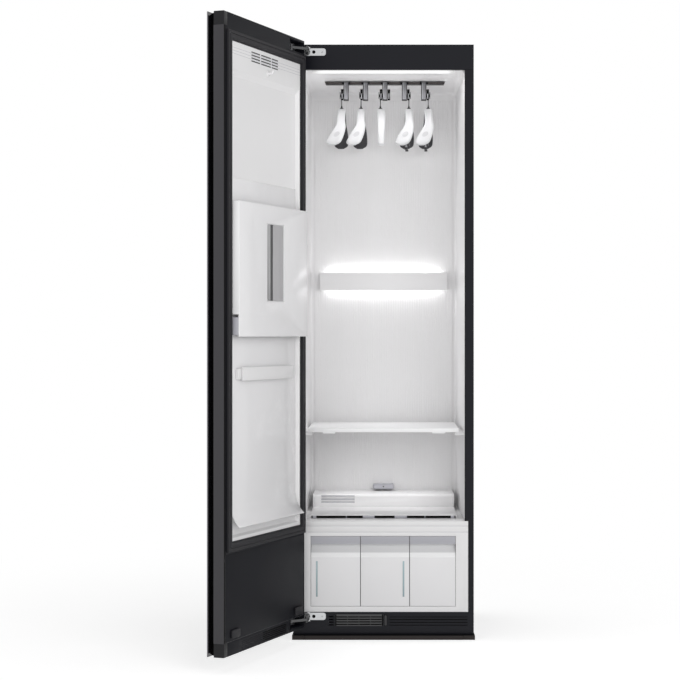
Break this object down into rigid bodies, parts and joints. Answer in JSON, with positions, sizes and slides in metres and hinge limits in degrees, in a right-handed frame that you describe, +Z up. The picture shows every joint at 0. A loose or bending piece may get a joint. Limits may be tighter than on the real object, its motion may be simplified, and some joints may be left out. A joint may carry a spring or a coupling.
{
  "type": "clothes care steam cabinet",
  "caption": "Tall steam cabinet for clothes with a left-hinged glass door, trouser press on the door, lit white cavity, shaking hanger rail, shelf and tank drawers.",
  "frame": {"origin": "on the floor, under the front plane of the body's frame, midway between its sides", "axes": "+X to the right seen from the front, +Y from the front to the back, +Z up"},
  "size_m": [0.8236, 1.1837, 1.96],
  "materials": {
    "shell": "satin black powder coat",
    "steel": "grey galvanised sheet",
    "black_trim": "fine-grained black",
    "black_glass": "polished black mirror glass",
    "rubber_black": "matt black",
    "white_liner": "smooth satin white",
    "white_trim": "smooth satin white",
    "white_matte": "fine matt white",
    "pearl": "pearl white",
    "frosted": "frosted white diffuser",
    "grey_plastic": "mid grey",
    "vent_grey": "grey",
    "hinge_metal": "satin steel",
    "rail_metal": "dark satin anodised",
    "hook_dark": "dark satin",
    "iron": "semi-gloss black",
    "fins": "mill finish",
    "boiler": "satin"
  },
  "bodies": {
    "cabinet": {"side_panel_left": "shell", "side_panel_right": "shell", "top_panel": "shell", "back_panel": "steel", "base_pan": "steel", "frame_stiles": "shell", "top_fascia": "shell", "plinth": "black_trim", "rear_feet": "rubber_black", "cavity_liner": "white_liner", "rear_wall_panel": "white_liner", "duct_housing": "white_liner", "outlet_grille": "grey_plastic", "steam_nozzle": "grey_plastic", "floor_tray": "white_liner", "ceiling_lamp": "frosted", "light_bar": "pearl", "machine_panel": "white_trim", "base_grille": "black_trim", "vent_insert": "vent_grey", "compressor": "iron", "heat_exchangers": "fins", "fan_housing": "grey_plastic", "steam_generator": "boiler", "control_board": "grey_plastic", "power_inlet": "rubber_black", "hinge_plates": "hinge_metal", "rail_drive": "grey_plastic"},
    "door": {"door_glass_panel": "black_glass", "door_frame": "black_trim", "door_liner": "white_liner", "door_gasket": "rubber_black", "door_lower_panel": "black_trim", "door_bottom_trim": "black_trim", "door_end_caps": "black_trim", "door_bumpers": "rubber_black", "door_hook": "white_trim", "trouser_plate": "white_matte", "hem_bar": "pearl"},
    "press": {"press_plate": "white_trim", "press_window": "grey_plastic"},
    "press_catch": {"press_latch": "grey_plastic"},
    "first_arms": {"hinge_arms_cabinet": "hinge_metal"},
    "second_arms": {"hinge_arms_door": "hinge_metal"},
    "rail": {"hanger_rail": "rail_metal", "rail_holders": "hook_dark"},
    "hanger_1": {"hanger_1": "white_trim"},
    "hanger_2": {"hanger_2": "white_trim"},
    "hanger_3": {"hanger_3": "white_trim"},
    "hanger_4": {"hanger_4": "white_trim", "trouser_clips_4": "grey_plastic"},
    "hanger_5": {"hanger_5": "white_trim", "trouser_clips_5": "grey_plastic"},
    "supply_drawer": {"supply_tank": "white_trim"},
    "drain_drawer": {"drain_tank": "white_trim"},
    "care_drawer": {"aroma_drawer": "white_trim"},
    "shelf": {"shelf": "white_matte"},
    "filter": {"lint_filter": "grey_plastic"},
    "wheel": {"fan_rotor": "black_trim"},
    "vent_button": {"vent_latch": "black_trim"}
  },
  "joints": [
    {"name": "door_swing", "type": "hinge", "parent": "cabinet", "child": "door", "pos_m": [-0.2974, -0.0501, 0], "axis": [0, 0, -1], "range_deg": [-110.9, 0.5]},
    {"name": "first_arm_turn", "type": "hinge", "parent": "cabinet", "child": "first_arms", "pos_m": [-0.248, -0.014, 0], "axis": [0, 0, -1], "range_deg": [-91.5, 0.5]},
    {"name": "second_arm_turn", "type": "hinge", "parent": "door", "child": "second_arms", "pos_m": [-0.29998, -0.10199, 0], "axis": [0, 0, 1], "range_deg": [-125.7, 0.7]},
    {"name": "press_open", "type": "hinge", "parent": "door", "child": "press", "pos_m": [-0.25951, -0.10813, 1.2], "axis": [0, 0, 1], "range_deg": [0, 90]},
    {"name": "press_catch_slide", "type": "slide", "parent": "press", "child": "press_catch", "axis": [0, 0, 1], "range_m": [0, 0.006], "stiffness_N_per_m": 400},
    {"name": "rail_shake", "type": "slide", "parent": "cabinet", "child": "rail", "axis": [1, 0, 0], "range_m": [-0.012, 0.012]},
    {"name": "hanger_1_swing", "type": "hinge", "parent": "rail", "child": "hanger_1", "pos_m": [-0.1435, 0.24, 1.823], "axis": [1, 0, 0], "range_deg": [-8, 8]},
    {"name": "hanger_2_swing", "type": "hinge", "parent": "rail", "child": "hanger_2", "pos_m": [-0.077, 0.24, 1.823], "axis": [1, 0, 0], "range_deg": [-8, 8]},
    {"name": "hanger_3_swing", "type": "hinge", "parent": "rail", "child": "hanger_3", "pos_m": [-0.0105, 0.24, 1.823], "axis": [1, 0, 0], "range_deg": [-8, 8]},
    {"name": "hanger_4_swing", "type": "hinge", "parent": "rail", "child": "hanger_4", "pos_m": [0.087, 0.24, 1.823], "axis": [1, 0, 0], "range_deg": [-8, 8]},
    {"name": "hanger_5_swing", "type": "hinge", "parent": "rail", "child": "hanger_5", "pos_m": [0.1535, 0.24, 1.823], "axis": [1, 0, 0], "range_deg": [-8, 8]},
    {"name": "supply_drawer_pull", "type": "slide", "parent": "cabinet", "child": "supply_drawer", "axis": [0, -1, 0], "range_m": [0, 0.25]},
    {"name": "drain_drawer_pull", "type": "slide", "parent": "cabinet", "child": "drain_drawer", "axis": [0, -1, 0], "range_m": [0, 0.25]},
    {"name": "care_drawer_pull", "type": "slide", "parent": "cabinet", "child": "care_drawer", "axis": [0, -1, 0], "range_m": [0, 0.25]},
    {"name": "shelf_pull", "type": "slide", "parent": "cabinet", "child": "shelf", "axis": [0, -1, 0], "range_m": [0, 0.3]},
    {"name": "filter_pull", "type": "slide", "parent": "cabinet", "child": "filter", "axis": [0, -1, 0], "range_m": [0, 0.12]},
    {"name": "fan_spin", "type": "hinge", "parent": "cabinet", "child": "wheel", "pos_m": [0.17, 0.4, 0.2], "axis": [0, 0, 1], "continuous": true},
    {"name": "vent_button_turn", "type": "hinge", "parent": "cabinet", "child": "vent_button", "pos_m": [0.007, -0.002, 0.0625], "axis": [0, -1, 0], "range_deg": [0, 90]}
  ],
  "couplings": [
    {"joint": "first_arm_turn", "follows": "door_swing", "ratio": 0.8242},
    {"joint": "second_arm_turn", "follows": "door_swing", "ratio": 1.1325}
  ]
}
